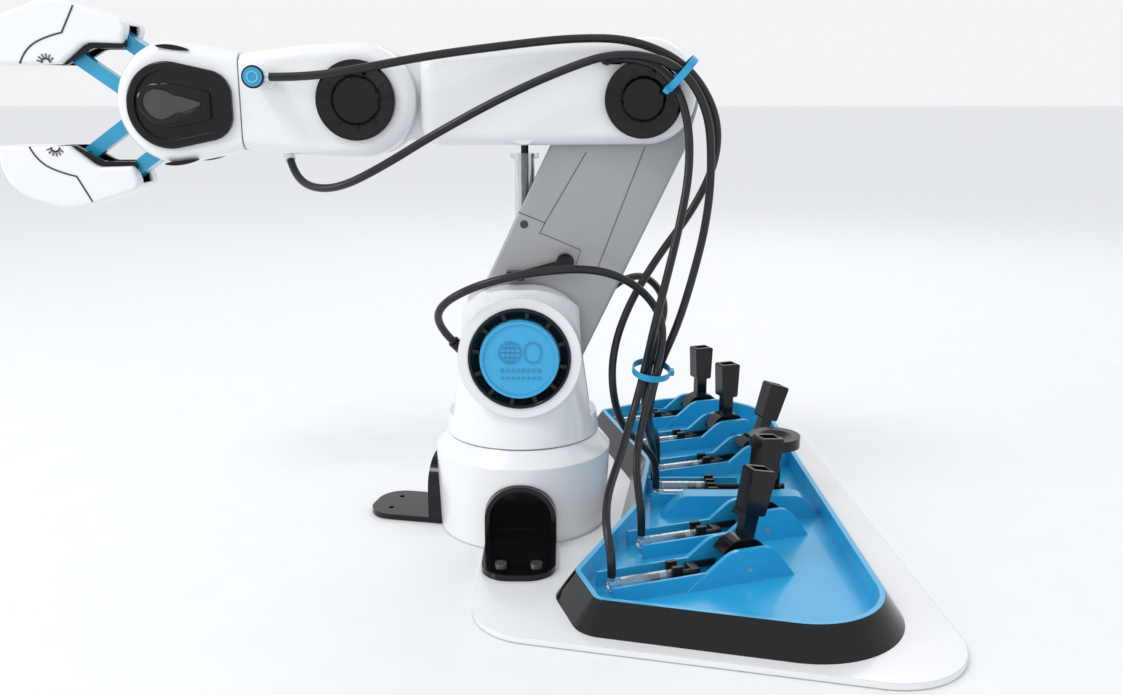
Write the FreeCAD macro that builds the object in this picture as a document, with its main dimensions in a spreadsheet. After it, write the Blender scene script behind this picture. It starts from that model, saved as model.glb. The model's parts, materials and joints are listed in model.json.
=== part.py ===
import FreeCAD, Part
import math
import os
import re
import Sketcher

# Desktop hydraulic arm kit. Millimetres, +Z up. The origin is on the turret's turning axis, at the
# height of the surface that the kit stands on. The arm reaches towards -X and the lever console
# stands towards +X. The arm's middle plane is Y = 0 and its front side faces -Y.

Vector = FreeCAD.Vector
doc = FreeCAD.newDocument("hydraulic_arm_kit")

# ---------------------------------------------------------------- driving dimensions
DIMENSIONS = {
    "plate_thickness": 3, "plate_notch_radius": 46,
    "drum_radius": 45, "collar_radius": 46.7, "collar_height": 44, "deck_radius": 40,
    "deck_height": 52, "drum_wall": 3, "drum_floor": 2, "post_radius": 10, "post_top": 60, "post_bore": 10.05,
    "foot_width": 36, "foot_height": 36, "foot_reach": 86, "foot_wall": 2.5, "foot_thickness": 3,
    "screw_radius": 1.5, "screw_head_radius": 2.8, "screw_head_height": 1.2, "screw_hole": 1.6,
    "rim_height": 16, "rim_inset": 9, "tray_wall": 2.5, "tray_floor": 1.5,
    "channel_angle": 20, "syringe_height": 9, "barrel_radius": 3, "barrel_bore": 2.3,
    "barrel_length": 33, "rod_radius": 1.6, "piston_radius": 2.2, "clip_bore": 3.05,
    "pivot_reach": 66, "pivot_height": 11, "cam_radius": 13, "cam_thickness": 10,
    "lever_pin": 1.5, "lever_bore": 1.56, "stem_width": 7, "knob_width": 13, "knob_depth": 10,
    "knob_height": 22, "lever_length": 46, "hump_radius": 19, "hump_thickness": 2.5,
    "wheel_radius": 14, "wheel_thickness": 6, "wheel_stem": 4, "wheel_bore": 4.06,
    "turret_bottom": 52.8, "turret_foot_radius": 40.5, "turret_neck_radius": 34.6,
    "turret_neck_height": 98, "cheek_radius": 33, "turret_wall": 2.5, "slot_half": 15.5,
    "boss_radius": 30.5, "boss_face": 41, "shoulder_height": 100, "shaft_radius": 4,
    "shaft_bore": 4.05, "arm_half": 14, "arm_wall": 3, "arm_width_low": 31,
    "elbow_x": 60, "elbow_z": 224.5, "forearm_half": 24, "shell_wall": 3,
    "wrist_x": -78, "wrist_z": 224, "tongue_half": 12, "tongue_radius": 24, "wrist_slot": 12.6,
    "wrist_half": 24, "wrist_radius": 28, "seam_x": -134, "seam_gap": 0.3, "head_half": 24, "roll_radius": 9,
    "roll_bore": 9.05, "cylinder_radius": 5, "cylinder_bore": 3.6,
    "rod_pin": 2, "rod_pin_bore": 2.05, "link_width": 7,
    "link_half": 5.5, "link_gap": 0.3, "link_pin": 1.6, "link_bore": 1.66,
    "jaw_half": 13, "liner_half": 9, "liner_slot": 6, "grip_x": -186, "grip_z": 221.5,
    "hose_radius": 2, "tie_radius": 9.8, "tie_thickness": 0.7,
}
sheet = doc.addObject("Spreadsheet::Sheet", "Dims")
for row, (alias, number) in enumerate(DIMENSIONS.items(), start=1):
    sheet.set("A%d" % row, alias)
    sheet.set("B%d" % row, str(number))
    sheet.setAlias("B%d" % row, alias)
doc.recompute()

parts = []


def size(alias):
    """The number that the sheet holds for one dimension."""
    return float(sheet.get(alias))


# ---------------------------------------------------------------- helpers
def bind(feature, prop, formula):
    """Binds a property to a formula written with the sheet's aliases, or sets a plain number."""
    if isinstance(formula, str):
        words = re.sub(r"[a-z][a-z_]+", lambda word: "Dims." + word.group(0), formula)
        feature.setExpression(prop, words)
    else:
        setattr(feature, prop, formula)


def turned(direction):
    """The rotation that takes +Z to a direction."""
    return FreeCAD.Rotation(Vector(0, 0, 1), Vector(*direction))


def cylinder(radius, height, base, direction=(0, 0, 1)):
    feature = doc.addObject("Part::Cylinder", "Cylinder")
    bind(feature, "Radius", radius)
    bind(feature, "Height", height)
    feature.Placement = FreeCAD.Placement(Vector(*base), turned(direction))
    return feature


def cone(foot_radius, top_radius, height, base, direction=(0, 0, 1)):
    feature = doc.addObject("Part::Cone", "Cone")
    bind(feature, "Radius1", foot_radius)
    bind(feature, "Radius2", top_radius)
    bind(feature, "Height", height)
    feature.Placement = FreeCAD.Placement(Vector(*base), turned(direction))
    return feature


def torus(ring_radius, tube_radius, centre, direction):
    feature = doc.addObject("Part::Torus", "Torus")
    bind(feature, "Radius1", ring_radius)
    bind(feature, "Radius2", tube_radius)
    feature.Placement = FreeCAD.Placement(Vector(*centre), turned(direction))
    return feature


def box(low, high, placement=None):
    """A box from its lowest to its highest corner, in a frame that the placement then moves."""
    feature = doc.addObject("Part::Box", "Box")
    feature.Length = high[0] - low[0]
    feature.Width = high[1] - low[1]
    feature.Height = high[2] - low[2]
    here = FreeCAD.Placement(Vector(*low), FreeCAD.Rotation())
    feature.Placement = placement.multiply(here) if placement else here
    return feature


def together(*features):
    if len(features) == 1:
        return features[0]
    feature = doc.addObject("Part::MultiFuse", "Fuse")
    feature.Shapes = list(features)
    return feature


def without(base, *tools):
    feature = doc.addObject("Part::Cut", "Cut")
    feature.Base = base
    feature.Tool = together(*tools)
    return feature


def common(*features):
    feature = doc.addObject("Part::MultiCommon", "Common")
    feature.Shapes = list(features)
    return feature


def group(*features):
    """Separate pieces that share one node."""
    feature = doc.addObject("Part::Compound", "Group")
    feature.Links = list(features)
    return feature


def node(name, feature):
    """Names a finished sub-part. The label is the name of its file."""
    feature.Label = name
    parts.append(feature)
    return feature


def outline(corners):
    """Closed outline of straight edges, each corner (x, y, radius) rounded by an arc."""
    count = len(corners)
    entries = []
    for index in range(count):
        here = Vector(corners[index][0], corners[index][1], 0)
        before = Vector(corners[index - 1][0], corners[index - 1][1], 0)
        after = Vector(corners[(index + 1) % count][0], corners[(index + 1) % count][1], 0)
        radius = corners[index][2]
        if radius <= 0:
            entries.append((here, None, here))
            continue
        back = (before - here).normalize()
        ahead = (after - here).normalize()
        half = back.getAngle(ahead) / 2
        reach = radius / math.tan(half)
        middle = (back + ahead).normalize() * (radius / math.sin(half) - radius)
        entries.append((here + back * reach, here + middle, here + ahead * reach))
    edges = []
    for index, (start, middle, end) in enumerate(entries):
        if middle is not None:
            edges.append(Part.Arc(start, middle, end))
        following = entries[(index + 1) % count][0]
        if (following - end).Length > 1e-6:
            edges.append(Part.LineSegment(end, following))
    return edges


def inset(corners, distance):
    """The corners of a counter-clockwise outline moved inwards by one distance."""
    count = len(corners)
    moved = []
    for index in range(count):
        here = Vector(corners[index][0], corners[index][1], 0)
        before = Vector(corners[index - 1][0], corners[index - 1][1], 0)
        after = Vector(corners[(index + 1) % count][0], corners[(index + 1) % count][1], 0)
        arriving = (here - before).normalize()
        leaving = (after - here).normalize()
        first = Vector(-arriving.y, arriving.x, 0)
        second = Vector(-leaving.y, leaving.x, 0)
        turn = arriving.x * leaving.y - arriving.y * leaving.x
        shift = (first + second) * (distance / (1 + first.dot(second)))
        radius = corners[index][2]
        if radius > 0:
            radius = max(radius - distance, 0.2) if turn > 0 else radius + distance
        moved.append((here.x + shift.x, here.y + shift.y, radius))
    return moved


SIDE_ON = FreeCAD.Rotation(Vector(1, 0, 0), 90)


def prism(corners, length, base=(0, 0, 0), side_on=False, soften=None, placement=None, crisp=None):
    """A padded sketch. Side on, the outline lies in X and Z and the pad runs towards -Y. The far
    side is softened, apart from an edge that lies along the crisp X."""
    body = doc.addObject("PartDesign::Body", "Body")
    sketch = body.newObject("Sketcher::SketchObject", "Sketch")
    plane = [item for item in body.Origin.OriginFeatures if item.Role == "XY_Plane"][0]
    sketch.AttachmentSupport = [(plane, "")]
    sketch.MapMode = "FlatFace"
    sketch.addGeometry(outline(corners), False)
    pad = body.newObject("PartDesign::Pad", "Pad")
    pad.Profile = sketch
    bind(pad, "Length", length)
    rotation = SIDE_ON if side_on else FreeCAD.Rotation()
    here = FreeCAD.Placement(Vector(*base), rotation)
    body.Placement = placement.multiply(here) if placement else here
    if soften:
        doc.recompute()
        top = pad.Shape.BoundBox.ZMax
        names = []
        for number, edge in enumerate(pad.Shape.Edges, start=1):
            bounds = edge.BoundBox
            at_seam = crisp is not None and max(abs(bounds.XMin - crisp), abs(bounds.XMax - crisp)) < 1e-4
            if abs(bounds.ZMin - top) < 1e-4 and bounds.ZLength < 1e-4 and not at_seam:
                names.append("Edge%d" % number)
        rounding = body.newObject("PartDesign::Fillet", "Fillet")
        rounding.Base = (pad, names)
        rounding.Radius = soften
    return body


def side_plate(corners, near, far, soften=None, placement=None, crisp=None):
    """A plate in the X-Z plane between two Y positions, near the larger. Softens its far side."""
    return prism(corners, near - far, (0, near, 0), True, soften, placement, crisp)


def mirrored_plate(corners, near, far, soften=None, placement=None, crisp=None):
    """The same plate seen from behind, so that its softened side faces +Y."""
    plate = side_plate(corners, near, far, soften, placement, crisp)
    mirror = doc.addObject("Part::Mirroring", "Mirror")
    mirror.Source = plate
    mirror.Normal = Vector(0, 1, 0)
    return mirror


def turned_profile(points):
    """A solid of revolution about Z from (radius, height) points."""
    body = doc.addObject("PartDesign::Body", "Body")
    sketch = body.newObject("Sketcher::SketchObject", "Sketch")
    plane = [item for item in body.Origin.OriginFeatures if item.Role == "XZ_Plane"][0]
    sketch.AttachmentSupport = [(plane, "")]
    sketch.MapMode = "FlatFace"
    sketch.addGeometry(outline([(radius, height, 0) for radius, height in points]), False)
    revolution = body.newObject("PartDesign::Revolution", "Revolution")
    revolution.Profile = sketch
    revolution.ReferenceAxis = (sketch, ["V_Axis"])
    revolution.Angle = 360
    return body


# ---------------------------------------------------------------- base plate
plate_top = size("plate_thickness")
PLATE = [(-19, -133, 30), (191, -185, 35), (180, 268, 77), (-19, 138, 30)]
RIM = [(17, -100, 18), (28, -137, 15), (171, -174, 45), (172, 242, 60), (38, 158, 14),
       (62, 50, 20), (52, -15, 30)]
FEET = {"front": (-90, plate_top), "rear": (90, plate_top), "left": (168, 0)}

screw_places = []
for angle, level in FEET.values():
    for sideways in (-8.5, 8.5):
        turn = FreeCAD.Rotation(Vector(0, 0, 1), angle)
        spot = turn.multVec(Vector(size("foot_reach") - 12, sideways, 0))
        screw_places.append((spot.x, spot.y, level))

screw_holes = [cylinder("screw_hole", 14, (x, y, -1)) for x, y, level in screw_places if level]
base_plate = prism(PLATE, "plate_thickness")
notch = cylinder("plate_notch_radius", 9, (0, 0, -3))
node("base_plate", without(base_plate, notch, *screw_holes))

# ---------------------------------------------------------------- pedestal and its feet
wall = size("drum_wall")
drum = turned_profile([
    (0, 0), (size("drum_radius"), 0), (size("collar_radius"), size("collar_height")),
    (size("deck_radius"), size("deck_height")), (size("post_radius"), size("deck_height")),
    (size("post_radius"), size("post_top")), (size("post_radius") - wall, size("post_top")),
    (size("post_radius") - wall, size("deck_height") - wall),
    (size("deck_radius") - wall, size("deck_height") - wall),
    (size("collar_radius") - wall, size("collar_height") - 1), (size("drum_radius") - wall, size("drum_floor")),
    (0, size("drum_floor"))])


def foot(angle, level, grow=0.0):
    """An arched niche let into the drum, with a tab that reaches out to two screws."""
    turn = FreeCAD.Placement(Vector(0, 0, 0), FreeCAD.Rotation(Vector(0, 0, 1), angle - 90))
    half = size("foot_width") / 2 + grow
    top = size("foot_height") + grow
    low = level - grow
    arch = [(-half, low, 0), (half, low, 0), (half, top, half - 0.5), (-half, top, half - 0.5)]
    block = prism(arch, 19 + grow, (0, 49, 0), True, None, turn)
    if grow:
        return block
    wall_of_foot = size("foot_wall")
    floor = level + size("foot_thickness")
    hollow_half = half - wall_of_foot
    hollow = [(-hollow_half, floor, 0), (hollow_half, floor, 0),
              (hollow_half, top - wall_of_foot, hollow_half - 0.5),
              (-hollow_half, top - wall_of_foot, hollow_half - 0.5)]
    niche = prism(hollow, 20, (0, 49 + wall_of_foot, 0), True, None, turn)
    reach = size("foot_reach")
    tab = [(-half, 40, 0), (half, 40, 0), (half, reach, 14), (-half, reach, 14)]
    tab_plate = prism(tab, "foot_thickness", (0, 0, level), False, None, turn)
    return without(together(without(block, niche), tab_plate), *[
        cylinder("screw_hole", 12, (x, y, -2)) for x, y, _ in screw_places])


node("pedestal", without(drum, *[foot(angle, level, 0.1) for angle, level in FEET.values()]))
node("pedestal_feet", group(*[foot(angle, level) for angle, level in FEET.values()]))


def screw(x, y, underside):
    """A round-headed screw whose head rests at one height."""
    shank = cylinder("screw_radius", underside, (x, y, 0))
    head = cylinder("screw_head_radius", "screw_head_height", (x, y, underside))
    return together(shank, head)


# The left foot stands clear of the plate, and its two holes are free for fastening the kit down.
node("base_screws", group(*[
    screw(x, y, level + size("foot_thickness")) for x, y, level in screw_places if level]))

# ---------------------------------------------------------------- console rim and tray
rim_top = size("rim_height")
rim_rise = rim_top - plate_top
tray_outline = inset(RIM, size("rim_inset"))


def lofted(lower, low, upper, high):
    """A solid between two outlines with matching corners, at two heights."""
    wires = []
    for corners, height in ((lower, low), (upper, high)):
        wire = Part.Wire([edge.toShape() for edge in outline(corners)])
        wires.append(wire.translated(Vector(0, 0, height)))
    feature = doc.addObject("Part::Feature", "Loft")
    feature.Shape = Part.makeLoft(wires, True, True)
    return feature


rim_solid = lofted(RIM, plate_top, tray_outline, rim_top)
rim_hole = prism(tray_outline, rim_rise + 2, (0, 0, plate_top - 1))
node("console_rim", without(rim_solid, rim_hole))

CHANNELS = {1: (43, -102, 12), 2: (60, -55, 6), 3: (77, 51, 18), 4: (67, 99, 0), 5: (56, 146, 0)}
YAW_ROWS = {"front": 11, "rear": 24}
YAW_START = 73
WHEEL_AT = (140, 17.5)
along = size("channel_angle")
floor_top = plate_top + size("tray_floor")


def channel_frame(number):
    """A channel's own frame: X along the syringe towards the lever, origin at the syringe's end."""
    x, y, _ = CHANNELS[number]
    return FreeCAD.Placement(Vector(x, y, 0), FreeCAD.Rotation(Vector(0, 0, 1), along))


def placed(feature, placement):
    feature.Placement = placement.multiply(feature.Placement)
    return feature


reach = size("pivot_reach")
pivot = size("pivot_height")
hump = size("hump_thickness")
hump_gap = size("cam_thickness") / 2 + 3.6
rib_at = 9.25
tray_features = []
tray_cuts = []
for number in CHANNELS:
    frame = channel_frame(number)
    for side in (-1, 1):
        middle = side * (hump_gap + hump / 2)
        low = plate_top + 0.5
        top = pivot + size("hump_radius") - 9
        arch = [(reach - 34, low, 0), (reach + 25, low, 0), (reach + 12, top, 11),
                (reach - 10, top, 13)]
        tray_features.append(side_plate(arch, middle + hump / 2, middle - hump / 2, None, frame))
        rib_low = (-3, side * rib_at - 0.75, low)
        rib_high = (reach - 20, side * rib_at + 0.75, pivot + 1)
        tray_features.append(box(rib_low, rib_high, frame))
    bore = cylinder("lever_bore", 30, (reach, 15, pivot), (0, -1, 0))
    tray_cuts.append(placed(bore, frame))

for side, y in (("low", YAW_ROWS["front"] - 6.5), ("high", YAW_ROWS["rear"] + 6.5)):
    low = (YAW_START - 3, y - 0.75, plate_top + 0.5)
    tray_features.append(box(low, (WHEEL_AT[0] - 18, y + 0.75, pivot + 1)))
wheel_post = cylinder("wheel_stem + 3", floor_top - 1, (*WHEEL_AT, plate_top + 0.2))
tray_features.append(wheel_post)
tray_cuts.append(cylinder("wheel_bore", 20, (*WHEEL_AT, plate_top + 1.2)))
mound = [(74, 4, 0), (160, 4, 0), (150, 17, 8), (86, 17, 8)]
tray_features.append(side_plate(mound, -2, -12))

tray_block = prism(tray_outline, rim_rise, (0, 0, plate_top))
pocket = prism(inset(tray_outline, size("tray_wall")), rim_rise + 2, (0, 0, floor_top))
shell = without(tray_block, pocket)
inside = prism(inset(tray_outline, 0.2), 60, (0, 0, plate_top))
furniture = common(together(*tray_features), inside)
console_tray = without(together(shell, furniture), *tray_cuts)
node("console_tray", console_tray)

# ---------------------------------------------------------------- console syringes
syringe_z = size("syringe_height")


def barrel():
    """An open barrel along X with an upright hose stub at its closed end."""
    tube = cylinder("barrel_radius", "barrel_length", (2, 0, syringe_z), (1, 0, 0))
    bore = cylinder("barrel_bore", "barrel_length", (5, 0, syringe_z), (1, 0, 0))
    stub = cylinder(1.6, 4, (0.5, 0, syringe_z), (0, 0, 1))
    knuckle = cylinder(2.6, 4, (-1.5, 0, syringe_z), (1, 0, 0))
    return without(together(tube, stub, knuckle), bore)


def saddle():
    """The clip that holds a barrel near its open end."""
    block = box((29.5, -4.5, floor_top), (34.5, 4.5, pivot + 3.5))
    seat = cylinder("clip_bore", 9, (27.5, 0, syringe_z), (1, 0, 0))
    mouth = box((28.5, -2.2, syringe_z), (35.5, 2.2, pivot + 4))
    return without(block, seat, mouth)


def rod(length):
    """Piston, rod and the flat that runs beside the lever's cam."""
    piston = cylinder("piston_radius", 4, (20, 0, syringe_z), (1, 0, 0))
    stick = cylinder("rod_radius", length - 24, (24, 0, syringe_z), (1, 0, 0))
    return together(piston, stick)


def moved(features, placement):
    """One piece of a repeated kind, put in its channel."""
    holder = doc.addObject("Part::Compound", "Placed")
    holder.Links = [features]
    holder.Placement = placement
    return holder


frames = [channel_frame(number) for number in CHANNELS]
frames += [FreeCAD.Placement(Vector(YAW_START, y, 0), FreeCAD.Rotation()) for y in YAW_ROWS.values()]
node("console_barrels", group(*[moved(barrel(), frame) for frame in frames]))
node("console_clips", group(*[moved(saddle(), frame) for frame in frames]))

axles = []
for number in CHANNELS:
    pin = cylinder("lever_pin", 2 * hump_gap + 5, (reach, hump_gap + 2.5, pivot), (0, -1, 0))
    axles.append(placed(pin, channel_frame(number)))
node("lever_axles", group(*axles))

for number in CHANNELS:
    link_plate = box((reach - 24, 5.8, syringe_z - 1.6), (reach - 9, 7.2, syringe_z + 1.6))
    bridge = box((reach - 25, -1.2, syringe_z - 1.6), (reach - 21, 7.2, syringe_z + 1.6))
    node("lever_plunger_%d" % number,
         moved(together(rod(reach - 22), bridge, link_plate), channel_frame(number)))

# ---------------------------------------------------------------- levers
knob_base = size("lever_length") - size("knob_height")
half_cam = size("cam_thickness") / 2


def lever(lean):
    """Half-round cam, stem and a hollow-topped knob, about a pivot at the origin."""
    cam = cylinder("cam_radius", "cam_thickness", (0, half_cam, 0), (0, -1, 0))
    lower = box((-20, -10, -20), (20, 10, 4))
    hub = cylinder("lever_pin + 2.4", "cam_thickness", (0, half_cam, 0), (0, -1, 0))
    half = size("stem_width") / 2
    stem = box((-half, -3, 2), (half, 3, knob_base + 1))
    wide = size("knob_width") / 2
    deep = size("knob_depth")
    grip = [(-wide + 1, knob_base, 1.5), (wide - 1, knob_base, 1.5),
            (wide, size("lever_length"), 1.5), (-wide, size("lever_length"), 1.5)]
    knob = side_plate(grip, deep / 2, -deep / 2)
    cup = box((-wide + 2, -deep / 2 + 2, size("lever_length") - 8),
              (wide - 2, deep / 2 - 2, size("lever_length") + 5))
    bore = cylinder("lever_bore", 30, (0, 15, 0), (0, -1, 0))
    whole = without(together(without(cam, lower), hub, stem, knob), cup, bore)
    tilt = FreeCAD.Placement(Vector(reach, 0, pivot), FreeCAD.Rotation(Vector(0, 1, 0), lean))
    return moved(whole, tilt)


for number, (x, y, lean) in CHANNELS.items():
    node("lever_%d" % number, moved(lever(lean), channel_frame(number)))

# ---------------------------------------------------------------- turning wheel of the console
wheel_foot = plate_top + 1.6
wheel_z = 36
stem_part = cylinder("wheel_stem", wheel_z - wheel_foot, (*WHEEL_AT, wheel_foot))
pinion = cylinder(4.6, 5, (*WHEEL_AT, floor_top + 3.4))
disc = cylinder("wheel_radius", "wheel_thickness", (*WHEEL_AT, wheel_z))
dish = cone(5, 9, 2.5, (*WHEEL_AT, wheel_z + 3.6))
node("yaw_wheel", without(together(stem_part, pinion, disc), dish))
for name, y in YAW_ROWS.items():
    frame = FreeCAD.Placement(Vector(YAW_START, y, 0), FreeCAD.Rotation())
    node("yaw_plunger_" + name, moved(rod(75), frame))

# ---------------------------------------------------------------- turret
low = size("turret_bottom")
neck = size("turret_neck_height")
peak = size("shoulder_height") + size("cheek_radius")
thin = size("turret_wall")
CHEEK = [(-43, low, 0), (43, low, 0), (33.5, peak, 33), (-33.5, peak, 33)]


def turret_body(shrink):
    """The tapered yoke, or with shrink the space inside its walls."""
    foot_radius = size("turret_foot_radius") - shrink
    neck_radius = size("turret_neck_radius") - shrink
    lower = cone(foot_radius, neck_radius, neck - low, (0, 0, low))
    upper = cone(neck_radius, neck_radius - 1.5, peak - neck, (0, 0, neck))
    arch = side_plate(inset(CHEEK, shrink), 60, -60)
    return common(together(lower, upper), arch)


slot = size("slot_half")
turret_outer = turret_body(0)
boss_length = size("boss_face") - 20
front_boss = cylinder("boss_radius", boss_length, (0, -20, size("shoulder_height")), (0, -1, 0))
rear_boss = cylinder("boss_radius", boss_length, (0, 20, size("shoulder_height")), (0, 1, 0))
arm_slot = box((-60, -slot, 63), (60, slot, 160))
post_hole = cylinder("post_bore", 20, (0, 0, low - 5))
shaft_hole = cylinder("shaft_radius", 100, (0, 50, size("shoulder_height")), (0, -1, 0))
ring_seat = 3.5


def turret_half(name, side, boss):
    """One of the turret's two shells, split along the arm's middle plane."""
    keep = box((-70, -70, 40), (70, 0, 150)) if side < 0 else box((-70, 0, 40), (70, 70, 150))
    reach_y = side * (slot + thin)
    hollow_zone = box((-70, min(reach_y, side * 70), 58), (70, max(reach_y, side * 70), 150))
    cavity = common(turret_body(thin), hollow_zone)
    face = side * size("boss_face")
    seat = cylinder(25.4, ring_seat + 5, (0, face - side * ring_seat, size("shoulder_height")),
                    (0, side, 0))
    column = cylinder(9, 12, (0, side * (slot + 1), size("shoulder_height")), (0, side, 0))
    shell_part = without(common(together(turret_outer, boss), keep), cavity, arm_slot, seat)
    return node(name, without(together(shell_part, column), post_hole, shaft_hole))


turret_half("turret_front_shell", -1, front_boss)
turret_half("turret_rear_shell", 1, rear_boss)


def ribbed_ring(outer, inner, seat_y, face_y, x, z, ribs):
    """A dished trim ring with ribs round it, between a seat and its outer face along Y."""
    side = 1 if face_y > seat_y else -1
    depth = abs(face_y - seat_y)
    ring = cylinder(outer, depth, (x, seat_y, z), (0, side, 0))
    hole = cylinder(inner, depth + 2, (x, seat_y - side, z), (0, side, 0))
    dished = cone(inner + 0.5, outer - 0.8, depth - 1, (x, seat_y + side * 1.2, z), (0, side, 0))
    wedges = []
    for index in range(ribs):
        turn = FreeCAD.Rotation(Vector(0, 1, 0), 360.0 * index / ribs + 10)
        frame = FreeCAD.Placement(Vector(x, 0, z), turn)
        first = min(seat_y, face_y - side * 0.6)
        last = max(seat_y, face_y - side * 0.6)
        wedges.append(box((inner + 0.2, first, -1.0), (outer - 0.4, last, 1.0), frame))
    return together(without(ring, hole, dished), *wedges)


def domed_cap(radius, seat_y, face_y, x, z):
    """A round cap with a bevelled edge."""
    side = 1 if face_y > seat_y else -1
    depth = abs(face_y - seat_y)
    flat = cylinder(radius, depth - 1.5, (x, seat_y, z), (0, side, 0))
    bevel = cone(radius, radius - 1.5, 1.5, (x, seat_y + side * (depth - 1.5), z), (0, side, 0))
    return together(flat, bevel)


shoulder_z = size("shoulder_height")
face = size("boss_face")
front_ring = ribbed_ring(25.2, 19.9, ring_seat - face, -face - 1, 0, shoulder_z, 12)
rear_ring = ribbed_ring(25.2, 19.9, face - ring_seat, face + 1, 0, shoulder_z, 12)
rear_hub = domed_cap(20, face - ring_seat, face + 1, 0, shoulder_z)
node("shoulder_rings", group(front_ring, together(rear_ring, rear_hub)))
node("shoulder_badge", domed_cap(19.7, ring_seat - face, -face - 2, 0, shoulder_z))
node("shoulder_shaft", cylinder("shaft_radius - 0.02", 56, (0, 28, shoulder_z), (0, -1, 0)))

# ---------------------------------------------------------------- upper arm
elbow_x = size("elbow_x")
elbow_z = size("elbow_z")
arm_length = math.hypot(elbow_x, elbow_z - shoulder_z)
arm_lean = math.degrees(math.atan2(elbow_x, elbow_z - shoulder_z))
# The upper arm is drawn upright over the shoulder and then leaned back to the elbow.
LEANED = FreeCAD.Placement(Vector(0, 0, shoulder_z), FreeCAD.Rotation(Vector(0, 1, 0), arm_lean))
low_half = size("arm_width_low")
arm_half = size("arm_half")
UPPER_ARM = [(-low_half, -low_half, low_half - 0.2), (low_half, -low_half, low_half - 0.2),
             (30.5, arm_length - 12, 20), (24, arm_length + 23.5, 20),
             (-24, arm_length + 23.5, 20), (-30.5, arm_length - 12, 20)]
arm_wall = size("arm_wall")
cylinder_gap = box((-45, -8.6, 48), (-14, 8.6, 128), LEANED)
shoulder_bore = cylinder("shaft_bore", 60, (0, 30, shoulder_z), (0, -1, 0))
elbow_bore = cylinder("shaft_bore", 60, (elbow_x, 30, elbow_z), (0, -1, 0))
cylinder_x = 2
cylinder_foot = 146
crosshead_rise = 66
cylinder_bores = cylinder("rod_pin_bore", 25.4, (cylinder_x, 12.7, cylinder_foot), (0, -1, 0))


def arm_shell(name, side):
    """One half of the upper arm, a dished plate with walls that meet the other half."""
    plate = side_plate if side < 0 else mirrored_plate
    outer = plate(UPPER_ARM, 0, -arm_half, 1.5, LEANED)
    hollow = plate(inset(UPPER_ARM, arm_wall), 1, arm_wall - arm_half, None, LEANED)
    hubs = []
    for x, z in ((0, shoulder_z), (elbow_x, elbow_z)):
        hubs.append(cylinder(8, arm_half - 0.5, (x, side * (arm_half - 0.5), z), (0, -side, 0)))
    return node(name, without(together(without(outer, hollow), *hubs), cylinder_gap,
                              shoulder_bore, elbow_bore, cylinder_bores))


arm_shell("upper_arm_front_shell", -1)
arm_shell("upper_arm_rear_shell", 1)
elbow_shaft = cylinder("shaft_radius - 0.02", 43, (elbow_x, 21.5, elbow_z), (0, -1, 0))
cylinder_pin = cylinder("rod_pin", 25, (cylinder_x, 12.5, cylinder_foot), (0, -1, 0))
node("upper_arm_pins", group(elbow_shaft, cylinder_pin))

port_y = -arm_half
port_boss = cylinder(4.5, 5, (22.5, port_y, 144.5), (0, -1, 0))
port_pipe = cylinder(1.8, 26, (22.5, port_y - 3.5, 144.5), (-25, 0, -7))
port_block = box((-7, port_y - 6, 135.5), (2, port_y, 140))
node("arm_port", together(port_boss, port_pipe, port_block))

# ---------------------------------------------------------------- elbow cylinder
tube = cylinder("cylinder_radius", 52, (cylinder_x, 0, cylinder_foot))
flange = cylinder(7.2, 2.5, (cylinder_x, 0, cylinder_foot + 49.5))
tube_bore = cylinder("cylinder_bore", 60, (cylinder_x, 0, cylinder_foot + 6))
eye = cylinder(5, 12, (cylinder_x, 6, cylinder_foot), (0, -1, 0))
node("elbow_cylinder", without(together(tube, flange, eye), tube_bore, cylinder_bores))
plunger = cylinder(1.9, crosshead_rise - 10.5, (cylinder_x, 0, cylinder_foot + 10.5))
seal = cylinder(3.5, 3, (cylinder_x, 0, cylinder_foot + 10.5))
crosshead = cylinder("rod_pin", 26, (cylinder_x, 13, cylinder_foot + crosshead_rise), (0, -1, 0))
node("elbow_rod", together(plunger, seal, crosshead))

# ---------------------------------------------------------------- forearm
fore_half = size("forearm_half")
wrist_x = size("wrist_x")
wrist_z = size("wrist_z")
FOREARM = [(-48, 202, 10), (86.5, 203, 24), (86.5, 255, 24), (-48, 248, 10)]
tongue_half = size("tongue_half")
tongue_round = size("tongue_radius")
TONGUE = [(wrist_x - 24, wrist_z - 24, 21.5), (-40, 206, 2), (-40, 244, 2),
          (wrist_x - 24, wrist_z + 24, 21.5)]
elbow_slot = size("slot_half")
elbow_cut = together(
    box((28, -elbow_slot, 180), (100, elbow_slot, 270)),
    box((-14, -elbow_slot, 180), (30, elbow_slot, 236)))
elbow_pin_hole = cylinder("shaft_radius", 60, (elbow_x, 30, elbow_z), (0, -1, 0))
wrist_bore = cylinder("shaft_bore", 60, (wrist_x, 30, wrist_z), (0, -1, 0))


ear_z = cylinder_foot + crosshead_rise
ear_hole = cylinder("rod_pin + 4", 60, (cylinder_x, 30, ear_z), (0, -1, 0))


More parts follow.
